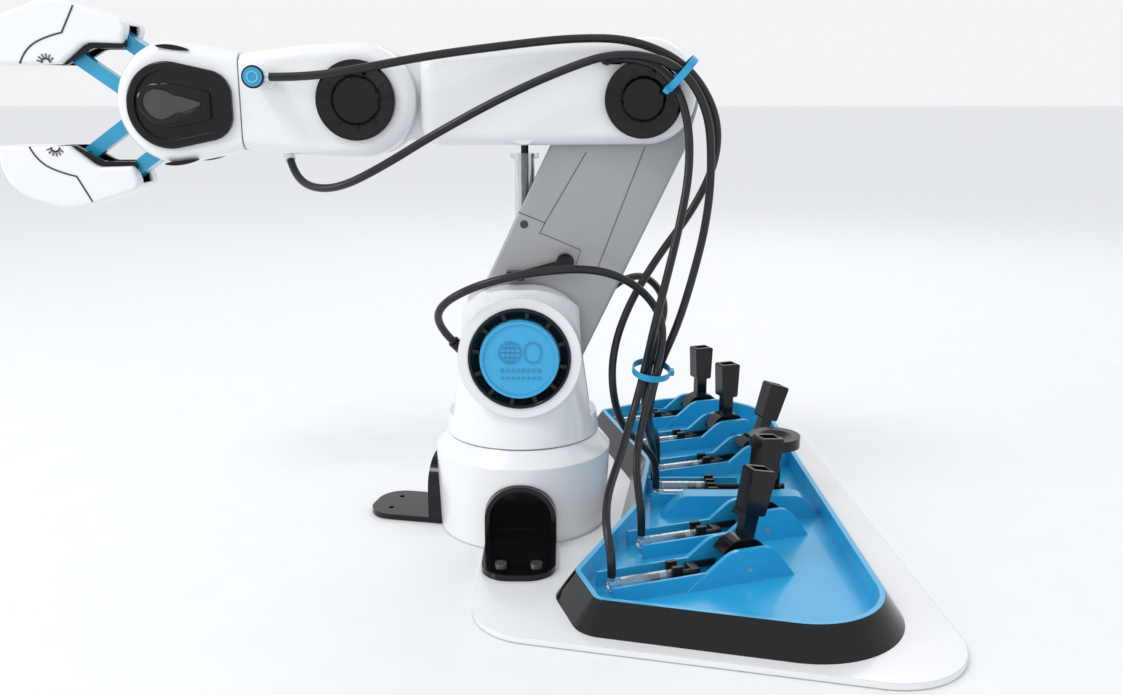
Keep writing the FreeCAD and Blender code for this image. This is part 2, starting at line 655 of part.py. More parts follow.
def forearm_shell(name, side):
    """Half of the forearm: cheeks round the elbow, a hollow tube, and half of the wrist tongue."""
    plate = side_plate if side < 0 else mirrored_plate
    outer = plate(FOREARM, 0, -fore_half, 8)
    hollow = plate(inset(FOREARM, size("shell_wall")), 1, size("shell_wall") - fore_half)
    left_part = box((-60, -30, 190), (26, 30, 270))
    tongue = plate(TONGUE, 0, -tongue_half)
    tube_shell = without(outer, common(hollow, left_part), elbow_cut)
    ear_block = [(cylinder_x - 9, ear_z - 9, 8.9), (cylinder_x + 9, ear_z - 9, 8.9),
                 (cylinder_x + 9, 238, 0), (cylinder_x - 9, 238, 0)]
    ear = without(plate(ear_block, -9, -fore_half + 2), ear_hole)
    return node(name, without(together(tube_shell, tongue, ear), elbow_pin_hole, wrist_bore))


forearm_shell("forearm_front_shell", -1)
forearm_shell("forearm_rear_shell", 1)


def joint_caps(x, z, seat, ring_radius, hub_radius):
    """The black ring and hub on both sides of a joint, one piece a side."""
    pieces = []
    for side in (-1, 1):
        ring = ribbed_ring(ring_radius, hub_radius, side * seat, side * (seat + 3.2), x, z, 9)
        hub = domed_cap(hub_radius + 0.4, side * seat, side * (seat + 3), x, z)
        pieces.append(together(ring, hub))
    return group(*pieces)


inlet_post = cylinder(3, 9, (42, -fore_half, 243), (0, -1, 0))
inlet_stub = cylinder(2.6, 7, (42, -fore_half - 6, 243), (1, 0, 0))
node("elbow_caps", group(joint_caps(elbow_x, elbow_z, fore_half, 18.6, 10.5),
                         together(inlet_post, inlet_stub)))

# ---------------------------------------------------------------- wrist
seam = size("seam_x")
wrist_half = size("wrist_half")
wrist_face = seam + size("seam_gap")
WRIST = [(wrist_face, 200.5, 0), (-104, 197.5, 20), (wrist_x + 28, wrist_z - 28.5, 27),
         (wrist_x + 28, wrist_z + 28.5, 27), (-104, 250, 20), (wrist_face, 246, 0)]
wrist_slot = size("wrist_slot")
wrist_cut = together(
    box((wrist_x - 25, -wrist_slot, 185), (-40, wrist_slot, 262)),
    cylinder(25.2, 2 * wrist_slot, (wrist_x, wrist_slot, wrist_z), (0, -1, 0)))
wrist_pin_hole = cylinder("shaft_radius", 60, (wrist_x, 30, wrist_z), (0, -1, 0))
roll_hole = cylinder("roll_bore", 22, (seam - 2, 0, 222), (1, 0, 0))
wrist_mouth = (-121, -wrist_half + 1, 234)


def wrist_shell(name, side):
    """Half of the wrist: cheeks round the forearm's tongue and the sleeve of the roll joint."""
    plate = side_plate if side < 0 else mirrored_plate
    outer = plate(WRIST, 0, -wrist_half, 7, None, wrist_face)
    hollow = plate(inset(WRIST, 3), 1, 3 - wrist_half)
    left_part = box((seam, -30, 190), (-110, 30, 260))
    sleeve = cylinder(13, 16, (seam + 1.5, 0, 222), (1, 0, 0))
    side_room = box((-200, -40, 150), (0, 0, 300)) if side < 0 else box((-200, 0, 150), (0, 40, 300))
    inner = common(sleeve, side_room)
    return node(name, without(
        together(without(outer, common(hollow, left_part)), inner),
        wrist_cut, wrist_pin_hole, roll_hole))


wrist_shell("wrist_front_shell", -1)
wrist_shell("wrist_rear_shell", 1)
node("wrist_caps", joint_caps(wrist_x, wrist_z, wrist_half, 19, 11.5))
node("wrist_shaft", cylinder("shaft_radius", 43, (wrist_x, 21.5, wrist_z), (0, -1, 0)))
socket = cylinder(5.6, 8, (-121, -wrist_half, 234.5), (0, -1, 0))
nozzle = cylinder(4.2, 12, (-121, -wrist_half - 8, 234.5), (0, -1, 0))
barb = cylinder(1.6, 6.5, (-121, -wrist_half - 17, 234.5), (1, 0, 0))
drop = cylinder(2.8, 9, (-118.6, -2.9, 202.53), (0.318, -0.424, -0.848))
wrist_block = side_plate(WRIST, wrist_half, -wrist_half)
node("wrist_inlets", group(together(socket, nozzle, barb), without(drop, wrist_block)))

# ---------------------------------------------------------------- gripper head
head_half = size("head_half")
grip_x = size("grip_x")
grip_z = size("grip_z")
head_face = seam - size("seam_gap")
HEAD = [(head_face, 200, 0), (head_face, 246.5, 0), (-194.5, 257.5, 28), (-194.5, 187.5, 28)]
COVER = [(-137.5, 207, 12), (-137.5, 236, 12), (-188, 247, 20), (-188, 196.5, 20)]
OUTER_UPPER = (-164.4, 231.5)
OUTER_LOWER = (-164.4, 2 * grip_z - 231.5)
head_mouth = box((-210, -9.5, 180), (-168, 9.5, 264))
roll_spigot = cylinder("roll_radius", 16, (seam - 3, 0, 222), (1, 0, 0))


def head_shell(name, side):
    """Half of the gripper head. The rear half carries the pins and the roll spigot."""
    plate = side_plate if side < 0 else mirrored_plate
    outer = plate(HEAD, 0, -head_half, 6, None, head_face)
    hollow = plate(inset(HEAD, 2.5), 1, 2.5 - head_half)
    shell_part = without(outer, hollow, head_mouth)
    if side < 0:
        spigot_hole = cylinder("roll_bore", 22, (seam - 6, 0, 222), (1, 0, 0))
        return node(name, without(shell_part, spigot_hole))
    pins = [roll_spigot]
    for x, z in ((grip_x, grip_z), OUTER_UPPER, OUTER_LOWER):
        pins.append(cylinder("link_pin", 43.4, (x, head_half - 2, z), (0, -1, 0)))
        pins.append(cylinder("link_pin + 1.5", 15, (x, head_half - 2, z), (0, -1, 0)))
    return node(name, together(shell_part, *pins))


head_shell("head_front_shell", -1)
head_shell("head_rear_shell", 1)
covers = []
for side, plate in ((-1, side_plate), (1, mirrored_plate)):
    base_part = plate(COVER, -head_half, -head_half - 3, 1.2)
    dish_part = plate(inset(COVER, 4), -head_half - 1.4, -head_half - 6)
    crest = plate(inset(COVER, 10), -head_half - 1, -head_half - 3, 0.8)
    covers.append(together(without(base_part, dish_part), crest))
node("head_covers", group(*covers))

# ---------------------------------------------------------------- gripper links and jaws
link_half = size("link_half")
link_gap = size("link_gap")
reach_x = -33.6
reach_z = 24.0


def link(pivot_at, end_at, near, far, width):
    """A bar with round ends and a bore in each, between two Y positions."""
    x0, z0 = pivot_at
    x1, z1 = end_at
    length = math.hypot(x1 - x0, z1 - z0)
    ux = (x1 - x0) / length
    uz = (z1 - z0) / length
    half = width / 2
    corners = []
    for dx, dz in ((-1, -1), (1, -1), (1, 1), (-1, 1)):
        centre_x, centre_z = (x0, z0) if dx < 0 else (x1, z1)
        corners.append((centre_x + half * (dx * ux - dz * uz),
                        centre_z + half * (dx * uz + dz * ux), half - 0.05))
    bar = side_plate(corners, near, far)
    bores = [cylinder("link_bore", 40, (x, 20, z), (0, -1, 0)) for x, z in (pivot_at, end_at)]
    return without(bar, *bores)


def linked(start, upward):
    """Where a link from one pivot carries its jaw pivot at rest."""
    return (start[0] + reach_x, start[1] + upward * reach_z)


INNER = (grip_x, grip_z)
link_width = size("link_width")
jaw_pivots = {1: (linked(INNER, 1), linked(OUTER_UPPER, 1)),
              -1: (linked(INNER, -1), linked(OUTER_LOWER, -1))}
node("upper_inner_link", link(INNER, jaw_pivots[1][0], -link_gap, -link_half, link_width))
node("lower_inner_link", link(INNER, jaw_pivots[-1][0], link_half, link_gap, link_width))
node("upper_outer_link", link(OUTER_UPPER, jaw_pivots[1][1], link_half, -link_half, link_width))
node("lower_outer_link", link(OUTER_LOWER, jaw_pivots[-1][1], link_half, -link_half, link_width))

JAW = [(-260.5, 241.2, 0.6), (-224, 241.2, 2), (-211, 251.5, 9), (-193, 251, 2), (-189.5, 262, 5),
       (-226, 273.5, 30), (-257.5, 263, 21)]
LINER = [(-234, 241.2, 0), (-222, 241, 3), (-209, 248.8, 9), (-192.6, 248.8, 2),
         (-192.2, 261, 3), (-222, 269.5, 10), (-234, 263, 2)]


def mirrored_outline(corners, upward):
    """The outline itself, or its mirror image below the gripper's middle line."""
    if upward > 0:
        return corners
    return [(x, 2 * grip_z - z, radius) for x, z, radius in reversed(corners)]


jaw_half = size("jaw_half")
liner_half = size("liner_half")
liner_slot = size("liner_slot")
for name, upward in (("upper", 1), ("lower", -1)):
    jaw_outline = mirrored_outline(JAW, upward)
    liner_outline = mirrored_outline(LINER, upward)
    whole_jaw = side_plate(jaw_outline, jaw_half, -jaw_half, 2)
    room = side_plate(liner_outline, liner_half, -liner_half)
    channel = side_plate(inset(liner_outline, 2), liner_slot, -liner_slot)
    mouth_at = sorted((grip_z, grip_z + upward * 29.5))
    below = box((-232, -liner_slot, mouth_at[0]), (-180, liner_slot, mouth_at[1]))
    door_at = sorted((grip_z, grip_z + upward * 38.2))
    door = box((-205, -liner_slot - 0.5, door_at[0]), (-180, liner_slot + 0.5, door_at[1]))
    node(name + "_jaw", without(whole_jaw, room, door))
    pins = []
    for x, z in jaw_pivots[upward]:
        pins.append(cylinder("link_pin", 14, (x, 7, z), (0, -1, 0)))
    lining = without(side_plate(liner_outline, liner_half, -liner_half), channel, below, door)
    node(name + "_jaw_liner", together(lining, *pins))

# ---------------------------------------------------------------- hoses and their ties
ROLL_HOSE = [(-114.5, -41, 234.5), (-97, -41, 234.5), (-74, -40, 238), (-40, -35, 244.5),
             (-6, -31, 249), (26, -30, 252.5), (54, -32, 252), (79.5, -33.5, 241),
             (95, -29, 219), (97, -22, 196), (87, -15, 171), (69, -13, 146), (54, -17, 121),
             (46.5, -22, 98), (47, -22, 76), (53, -14, 56), (64, -1, 43), (71.5, 8.5, 32),
             (73.5, 11, 21), (73.5, 11, 13)]
WRIST_HOSE = [(-115.6, -6.8, 194.7), (-112.8, -10.5, 187.3), (-103, -18.5, 181.5),
              (-87, -27.5, 182.5), (-66, -34, 192.5), (-40, -37, 208), (-9, -37, 224.5),
              (19, -37, 237), (46, -39.5, 246), (75, -41, 241), (90, -36, 220), (93, -32, 192),
              (91.5, -30, 166), (86, -29, 140), (79, -27.5, 114), (70.2, -22.8, 91),
              (67.5, -6, 66), (70, 22, 45), (76, 43.5, 34.5), (77.5, 51.2, 23), (77.5, 51.2, 13)]
ELBOW_HOSE = [(49, -30, 243), (61, -30, 243), (74, -33.5, 233), (80.5, -37.5, 215),
              (81.5, -40, 192), (77, -43, 166), (70.5, -45, 138), (65.5, -41.5, 114),
              (62.6, -28.8, 91), (57, -35, 71), (49, -55, 53), (42, -78, 43), (41, -94, 34),
              (43.5, -101.8, 23), (43.5, -101.8, 13)]
TURRET_FRONT_HOSE = [(-34, -24, 105), (-41, -30, 114), (-39, -42, 127), (-20, -50, 138.5),
                     (8, -50.5, 145), (38, -45, 146), (60, -36, 135), (72.5, -31, 116),
                     (69, -29.3, 91), (62, -36, 69), (57.5, -46, 49), (59, -52.5, 34),
                     (60.5, -54.8, 23), (60.5, -54.8, 13)]
TURRET_REAR_HOSE = [(34, 24, 105), (41, 30, 114), (52, 26, 128), (66, 11, 134), (75.5, -7, 123),
                    (70, -18.5, 106), (64.5, -22.2, 89), (64, -13, 66), (67.5, 8, 47),
                    (72, 21, 35), (73.5, 24, 23), (73.5, 24, 13)]


def hose(name, route):
    """A round tube along straight runs joined by tangent arcs as large as the runs allow."""
    points = [Vector(*point) for point in route]
    edges = []
    here = points[0]
    radii = []
    for index in range(1, len(points) - 1):
        corner = points[index]
        back = points[index - 1] - corner
        ahead = points[index + 1] - corner
        half_turn = (math.pi - back.getAngle(ahead)) / 2
        trim = 0.45 * min(back.Length, ahead.Length)
        radius = trim / math.tan(half_turn)
        radii.append(radius)
        back = back.normalize()
        ahead = ahead.normalize()
        start = corner + back * trim
        end = corner + ahead * trim
        bisector = (back + ahead).normalize()
        middle = corner + bisector * (radius / math.cos(half_turn) - radius)
        edges.append(Part.LineSegment(here, start).toShape())
        edges.append(Part.Arc(start, middle, end).toShape())
        here = end
    edges.append(Part.LineSegment(here, points[-1]).toShape())
    path = Part.Wire(edges)
    radius = size("hose_radius")
    ring = Part.Wire([Part.Circle(points[0], points[1] - points[0], radius).toShape()])
    feature = doc.addObject("Part::Feature", "Hose")
    feature.Shape = path.makePipeShell([ring], True, False)
    expected = math.pi * radius ** 2 * path.Length
    print(name, "length %.1f" % path.Length, "volume ratio %.4f" % (feature.Shape.Volume / expected))
    print("    arcs", " ".join("%.0f" % arc for arc in radii))
    return node(name, feature)


hose("roll_hose", ROLL_HOSE)
hose("wrist_hose", WRIST_HOSE)
hose("elbow_hose", ELBOW_HOSE)
hose("turret_front_hose", TURRET_FRONT_HOSE)
hose("turret_rear_hose", TURRET_REAR_HOSE)
node("elbow_hose_tie", torus("tie_radius", "tie_thickness", (76.5, -38.4, 236), (0.75, 0, -0.66)))
node("turret_hose_tie", torus("tie_radius", "tie_thickness", (66.4, -26, 90.5), (0.1, -0.25, 1)))
stubs = []
for side in (-1, 1):
    start = Vector(side * 27, side * 18, 96)
    end = Vector(side * 34, side * 24, 105)
    stub = cylinder("hose_radius + 1", (end - start).Length, tuple(start), tuple(end - start))
    stubs.append(without(stub, turret_outer, front_boss, rear_boss))
node("turret_inlets", group(*stubs))

# ---------------------------------------------------------------- checks and export
doc.recompute()
failed = [feature.Name for feature in doc.Objects
          if "Invalid" in feature.State or "Error" in feature.State]
if failed:
    raise RuntimeError("these objects failed: " + ", ".join(failed))
os.makedirs("parts", exist_ok=True)
for feature in parts:
    shape = feature.Shape
    if shape.isNull() or not shape.isValid() or not shape.Solids:
        raise RuntimeError("%s has no valid solid" % feature.Label)
    shape.exportStep(os.path.join("parts", feature.Label + ".step"))
print(len(parts), "sub-parts written")
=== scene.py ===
"""Looks of the hydraulic arm kit: camera, light, materials, hoses and surface details."""
import json
import math

import bmesh
import bpy
import numpy as np
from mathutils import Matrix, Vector


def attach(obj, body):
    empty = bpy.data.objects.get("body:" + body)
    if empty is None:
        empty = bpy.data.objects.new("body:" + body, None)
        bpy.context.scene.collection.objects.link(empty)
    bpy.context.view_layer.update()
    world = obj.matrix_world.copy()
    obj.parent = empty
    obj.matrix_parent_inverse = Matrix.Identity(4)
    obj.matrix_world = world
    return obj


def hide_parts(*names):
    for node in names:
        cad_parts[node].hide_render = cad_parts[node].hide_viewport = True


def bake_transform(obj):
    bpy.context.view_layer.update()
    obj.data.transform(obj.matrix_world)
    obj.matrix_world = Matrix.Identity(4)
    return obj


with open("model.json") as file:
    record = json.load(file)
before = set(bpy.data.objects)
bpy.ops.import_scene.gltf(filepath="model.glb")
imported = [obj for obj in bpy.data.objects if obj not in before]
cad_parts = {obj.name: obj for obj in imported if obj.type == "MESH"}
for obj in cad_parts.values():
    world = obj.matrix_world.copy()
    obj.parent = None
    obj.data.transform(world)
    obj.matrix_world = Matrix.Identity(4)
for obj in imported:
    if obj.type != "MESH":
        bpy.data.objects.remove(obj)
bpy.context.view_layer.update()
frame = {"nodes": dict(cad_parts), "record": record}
nodes = frame["nodes"]
MM = 0.001

# ---------------------------------------------------------------- driving dimensions, millimetres
HOSE_DIAMETER = 4.0
SHOULDER = (0.0, 100.0)
GRIP_MIDDLE = 221.5
ARM_FACE = -14.0
JAW_FACE = -13.0
COVER_FACE = -27.0
VENT_FACE = -20.6
BADGE_FACE = -43.0
INLET_KNOB = (-121.0, 234.5)
HOSE_SIDES = 18
BLOCK_FACES = [(0, 1, 3, 2), (4, 6, 7, 5), (0, 4, 5, 1), (2, 3, 7, 6), (0, 2, 6, 4),
               (1, 5, 7, 3)]


def metres(point):
    """A point in millimetres as a vector in metres."""
    return Vector(point) * MM


# ---------------------------------------------------------------- camera, floor and light
def make_camera():
    data = bpy.data.cameras.new("camera")
    data.sensor_width = 36
    data.lens = 33.66
    data.clip_start = 0.01
    camera = bpy.data.objects.new("camera", data)
    camera.location = metres((20.7, -542.8, 224.1))
    camera.rotation_euler = (math.radians(90 - 13.26), 0, 0)
    bpy.context.scene.collection.objects.link(camera)
    bpy.context.scene.camera = camera


def make_light(name, place, aim, width, power):
    data = bpy.data.lights.new(name, "AREA")
    data.shape = "RECTANGLE"
    data.size = width
    data.size_y = width * 0.6
    data.energy = power
    light = bpy.data.objects.new(name, data)
    light.location = place
    light.rotation_euler = (Vector(aim) - Vector(place)).to_track_quat("-Z", "Y").to_euler()
    bpy.context.scene.collection.objects.link(light)


def make_studio():
    world = bpy.data.worlds.new("studio")
    world.use_nodes = True
    background = world.node_tree.nodes["Background"]
    background.inputs["Color"].default_value = (0.97, 0.98, 1.0, 1)
    background.inputs["Strength"].default_value = 0.92
    bpy.context.scene.world = world
    bpy.context.scene.view_settings.view_transform = "Standard"
    make_light("key", (-0.8, -0.7, 1.3), (0, 0, 0.1), 0.5, 5.5)
    make_light("strip", (-1.2, -0.5, 0.5), (0, 0, 0.15), 0.35, 2.2)
    make_light("back", (0.4, 1.1, 1.0), (0, 0, 0.15), 0.8, 2.5)
    data = bpy.data.meshes.new("floor")
    half = 40.0
    corners = [(-half, -half, 0), (half, -half, 0), (half, half, 0), (-half, half, 0)]
    data.from_pydata(corners, [], [(0, 1, 2, 3)])
    floor = bpy.data.objects.new("floor", data)
    floor.location.z = -0.0004
    bpy.context.scene.collection.objects.link(floor)
    floor.data.materials.append(plastic("floor_white", (0.86, 0.87, 0.88), roughness=0.6,
                                        coat=0.0, grain=40, variation=0.02))


# ---------------------------------------------------------------- materials
def plastic(name, colour, roughness, coat, grain, variation, bump=0.02, edge=0.0, shine=0.5):
    """Moulded plastic: slight mottling, fine grain and softened edges."""
    material = bpy.data.materials.new(name)
    material.use_nodes = True
    tree = material.node_tree
    shader = tree.nodes["Principled BSDF"]
    shader.inputs["Coat Weight"].default_value = coat
    shader.inputs["Coat Roughness"].default_value = 0.06
    shader.inputs["Specular IOR Level"].default_value = shine
    coordinates = tree.nodes.new("ShaderNodeTexCoord")
    mottle = tree.nodes.new("ShaderNodeTexNoise")
    mottle.inputs["Scale"].default_value = grain
    mottle.inputs["Detail"].default_value = 4
    tree.links.new(coordinates.outputs["Object"], mottle.inputs["Vector"])
    ramp = tree.nodes.new("ShaderNodeValToRGB")
    ramp.color_ramp.elements[0].position = 0.3
    ramp.color_ramp.elements[1].position = 0.7
    darker = [channel * (1 - variation) for channel in colour]
    ramp.color_ramp.elements[0].color = (*darker, 1)
    ramp.color_ramp.elements[1].color = (*colour, 1)
    tree.links.new(mottle.outputs["Fac"], ramp.inputs["Fac"])
    tree.links.new(ramp.outputs["Color"], shader.inputs["Base Color"])
    polish = tree.nodes.new("ShaderNodeMapRange")
    polish.inputs["To Min"].default_value = roughness * 0.8
    polish.inputs["To Max"].default_value = roughness * 1.25
    tree.links.new(mottle.outputs["Fac"], polish.inputs["Value"])
    tree.links.new(polish.outputs["Result"], shader.inputs["Roughness"])
    fine = tree.nodes.new("ShaderNodeTexNoise")
    fine.inputs["Scale"].default_value = 900
    fine.inputs["Detail"].default_value = 2
    tree.links.new(coordinates.outputs["Object"], fine.inputs["Vector"])
    relief = tree.nodes.new("ShaderNodeBump")
    relief.inputs["Strength"].default_value = bump
    relief.inputs["Distance"].default_value = 0.0003
    tree.links.new(fine.outputs["Fac"], relief.inputs["Height"])
    if edge:
        softened = tree.nodes.new("ShaderNodeBevel")
        softened.samples = 4
        softened.inputs["Radius"].default_value = edge * MM
        tree.links.new(softened.outputs["Normal"], relief.inputs["Normal"])
    tree.links.new(relief.outputs["Normal"], shader.inputs["Normal"])
    return material


def metal(name):
    material = plastic(name, (0.62, 0.62, 0.64), roughness=0.3, coat=0.0, grain=300,
                       variation=0.15)
    material.node_tree.nodes["Principled BSDF"].inputs["Metallic"].default_value = 1.0
    return material


def clear(name, colour, weight, roughness=0.05):
    """See-through plastic that still has a body colour."""
    material = plastic(name, colour, roughness=roughness, coat=0.5, grain=60, variation=0.05)
    shader = material.node_tree.nodes["Principled BSDF"]
    shader.inputs["Transmission Weight"].default_value = weight
    shader.inputs["IOR"].default_value = 1.45
    return material


LOOKS = {
    "white_shell": plastic("white_gloss", (0.84, 0.85, 0.87), roughness=0.24, coat=0.5, grain=25,
                           variation=0.025, bump=0.01, edge=0.7),
    "arm_grey": plastic("grey_satin", (0.36, 0.365, 0.375), roughness=0.32, coat=0.25, grain=30,
                        variation=0.05, bump=0.03, edge=0.5),
    "black_gloss": plastic("black_gloss", (0.004, 0.004, 0.005), roughness=0.13, coat=0.08,
                           grain=40, variation=0.3, bump=0.01, edge=0.4, shine=0.3),
    "blue_tray": plastic("blue_gloss", (0.022, 0.40, 0.72), roughness=0.28, coat=0.4, grain=35,
                         variation=0.08, bump=0.02, edge=0.5),
    "blue_link": clear("blue_link", (0.03, 0.42, 0.70), 0.25, 0.16),
    "clear_barrel": clear("clear_barrel", (0.92, 0.96, 0.98), 0.92),
    "steel": metal("steel"),
    "hose_black": plastic("hose_rubber", (0.009, 0.009, 0.01), roughness=0.3, coat=0.1, grain=120,
                          variation=0.35, bump=0.05, edge=0, shine=0.4),
    "blue_tie": plastic("blue_tie", (0.02, 0.36, 0.66), roughness=0.4, coat=0.1, grain=90,
                        variation=0.15, bump=0.04),
    "plunger_black": plastic("black_satin", (0.008, 0.008, 0.009), roughness=0.3, coat=0.05,
                             grain=90, variation=0.3, bump=0.04, edge=0.25, shine=0.3),
}
BLACK_LINE = plastic("seam_shadow", (0.05, 0.05, 0.055), roughness=0.6, coat=0.0, grain=90,
                     variation=0.2)
GREY_LINE = plastic("seam_grey", (0.16, 0.165, 0.18), roughness=0.6, coat=0.0, grain=90,
                    variation=0.2)
CHARCOAL = plastic("charcoal_satin", (0.045, 0.045, 0.048), roughness=0.32, coat=0.2, grain=70,
                   variation=0.2)
BLUE_SHADE = plastic("blue_shade", (0.012, 0.27, 0.53), roughness=0.3, coat=0.4, grain=60,
                     variation=0.1)
SKY_BAND = plastic("sky_band", (0.12, 0.55, 0.8), roughness=0.4, coat=0.2, grain=60,
                   variation=0.1)


def finish_cad_nodes():
    """Gives every shown CAD node the look of its material slot, with smooth curved faces."""
    for row in frame["record"]["subparts"]:
        thing = nodes[row["node"]]
        thing.data.materials.clear()
        thing.data.materials.append(LOOKS[row["material_slot"]])
        thing.data.polygons.foreach_set("use_smooth", [True] * len(thing.data.polygons))
        thing.data.set_sharp_from_angle(angle=math.radians(32))


# ---------------------------------------------------------------- mesh helpers
def add_mesh(name, vertices, faces, look, body, smooth=True):
    data = bpy.data.meshes.new(name)
    data.from_pydata([tuple(vertex) for vertex in vertices], [], faces)
    data.validate()
    cleaner = bmesh.new()
    cleaner.from_mesh(data)
    bmesh.ops.recalc_face_normals(cleaner, faces=cleaner.faces)
    cleaner.to_mesh(data)
    cleaner.free()
    thing = bpy.data.objects.new(name, data)
    bpy.context.scene.collection.objects.link(thing)
    data.materials.append(look)
    data.polygons.foreach_set("use_smooth", [smooth] * len(data.polygons))
    if smooth:
        data.set_sharp_from_angle(angle=math.radians(35))
    if body:
        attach(thing, body)
    return thing


def tube_mesh(points, radius, sides=HOSE_SIDES):
    """Vertices and faces of a round closed tube along points, without twist."""
    points = [Vector(point) for point in points]
    tangents = []
    for index in range(len(points)):
        ahead = points[min(index + 1, len(points) - 1)]
        behind = points[max(index - 1, 0)]
        tangents.append((ahead - behind).normalized())
    side = tangents[0].orthogonal().normalized()
    vertices = []
    for index, point in enumerate(points):
        if index:
            side = tangents[index - 1].rotation_difference(tangents[index]) @ side
        side = (side - tangents[index] * side.dot(tangents[index])).normalized()
        other = tangents[index].cross(side)
        for step in range(sides):
            angle = 2 * math.pi * step / sides
            vertices.append(point + (side * math.cos(angle) + other * math.sin(angle)) * radius)
    faces = []
    for ring in range(len(points) - 1):
        for step in range(sides):
            first = ring * sides + step
            second = ring * sides + (step + 1) % sides
            faces.append((first, second, second + sides, first + sides))
    faces.append(tuple(reversed(range(sides))))
    faces.append(tuple(range(len(vertices) - sides, len(vertices))))
    return vertices, faces


def smooth_line(points, closed=False, fineness=8):
    """Points along the NURBS curve whose control points are given, in metres."""
    curve = bpy.data.curves.new("line", "CURVE")
    curve.dimensions = "3D"
    spline = curve.splines.new("NURBS")
    spline.points.add(len(points) - 1)
    for control, point in zip(spline.points, points):
        control.co = (*point, 1)
    spline.order_u = 3
    if closed:
        spline.use_cyclic_u = True
    else:
        spline.use_endpoint_u = True
    spline.resolution_u = fineness
    holder = bpy.data.objects.new("line", curve)
    bpy.context.scene.collection.objects.link(holder)
    sampled = bpy.data.meshes.new_from_object(holder)
    line = [vertex.co.copy() for vertex in sampled.vertices]
    bpy.data.objects.remove(holder)
    bpy.data.curves.remove(curve)
    bpy.data.meshes.remove(sampled)
    return line


# ---------------------------------------------------------------- surface details
def face_strip(name, points, face, width, look, body, height=0.25, closed=False):
    """A strip along points (x, z) on a face across Y, standing out from it by height."""
    outward = math.copysign(1, face)
    count = len(points)
    vertices = []
    for index, (x, z) in enumerate(points):
        last = count - 1
        ahead = points[(index + 1) % count if closed else min(index + 1, last)]
        behind = points[(index - 1) % count if closed else max(index - 1, 0)]
        run = Vector((ahead[0] - behind[0], ahead[1] - behind[1])).normalized()
        across = Vector((-run.y, run.x)) * width / 2
        for side in (-1, 1):
            for level in (face - outward * 0.3, face + outward * height):
                vertices.append(metres((x + side * across.x, level, z + side * across.y)))
    faces = []
    for index in range(count if closed else count - 1):
        a = index * 4
        b = ((index + 1) % count) * 4
        faces += [(a, a + 1, b + 1, b), (a + 1, a + 3, b + 3, b + 1),
                  (a + 3, a + 2, b + 2, b + 3), (a + 2, a, b, b + 2)]
    if not closed:
        end = (count - 1) * 4
        faces += [(0, 2, 3, 1), (end, end + 1, end + 3, end + 2)]
    return add_mesh(name, vertices, faces, look, body, False)


def face_plate(name, outline, face, height, look, body, rim=0.5, dish=0.0):
    """A low plate on a face across Y, with a chamfered rim and a top that may be sunk."""
    outward = math.copysign(1, face)
    centre = sum((Vector(point) for point in outline), Vector((0, 0))) / len(outline)
    count = len(outline)
    rings = [(0.0, -0.2), (0.0, height - rim * 0.5), (rim, height), (rim * 2.2, height)]
    if dish:
        rings += [(rim * 3.2, height - dish)]
    vertices = []
    for inward, level in rings:
        for point in outline:
            away = Vector(point) - centre
            shrunk = centre + away * (1 - inward / max(away.length, 0.01))
            vertices.append(metres((shrunk.x, face + outward * level, shrunk.y)))
    faces = []
    for ring in range(len(rings) - 1):
        for step in range(count):
            a = ring * count + step
            b = ring * count + (step + 1) % count
            faces.append((a, b, b + count, a + count))
    faces.append(tuple(range((len(rings) - 1) * count, len(rings) * count)))
    faces.append(tuple(reversed(range(count))))
    return add_mesh(name, vertices, faces, look, body)


def circle_point(centre, radius, angle):
    turned = math.radians(angle)
    return (centre[0] + radius * math.cos(turned), centre[1] + radius * math.sin(turned))


def circle_points(centre, radius, count=48, start=0.0, turn=360.0):
    """Points round a circle, or along an arc when turn is less than a whole turn."""
    steps = count if abs(turn) >= 360 else count + 1
    return [circle_point(centre, radius, start + turn * step / count) for step in range(steps)]


def eased(points, closed=False, fineness=6):
    """Points (x, z) run through a smooth curve."""
    line = smooth_line([(x * MM, 0, z * MM) for x, z in points], closed, fineness)
    return [(point.x / MM, point.z / MM) for point in line]


def mirrored(points):
    """Points flipped about the height of the grip's middle."""
    return [(x, 2 * GRIP_MIDDLE - z) for x, z in points]


JAW_MOTIF = (-230.5, 241.6)


def add_jaw_details():
    seam = [(-214.6, 268.6), (-216.5, 265), (-221.3, 256)]
    tail = eased([(-221.3, 256), (-231.4, 253.6), (-240.6, 247.5), (-243.3, 241.4)])
    for body, flip in (("upper_jaw", False), ("lower_jaw", True)):
        for side, face in (("front", JAW_FACE), ("rear", -JAW_FACE)):
            line = mirrored(seam + tail) if flip else seam + tail
            face_strip("%s_seam_%s" % (body, side), line, face, 0.8, BLACK_LINE, body)
            for number, angle in enumerate(range(25, 170, 26)):
                inner = circle_point(JAW_MOTIF, 2.0, angle)
                outer = circle_point(JAW_MOTIF, 4.6, angle + 9)
                tooth = [inner, outer]
                face_strip("%s_tooth_%s_%d" % (body, side, number),
                           mirrored(tooth) if flip else tooth, face, 0.9, GREY_LINE, body,
                           0.2)
            arc = circle_points(JAW_MOTIF, 2.1, 10, 0, 180)
            face_strip("%s_hub_%s" % (body, side), mirrored(arc) if flip else arc, face, 0.8,
                       GREY_LINE, body, 0.2)


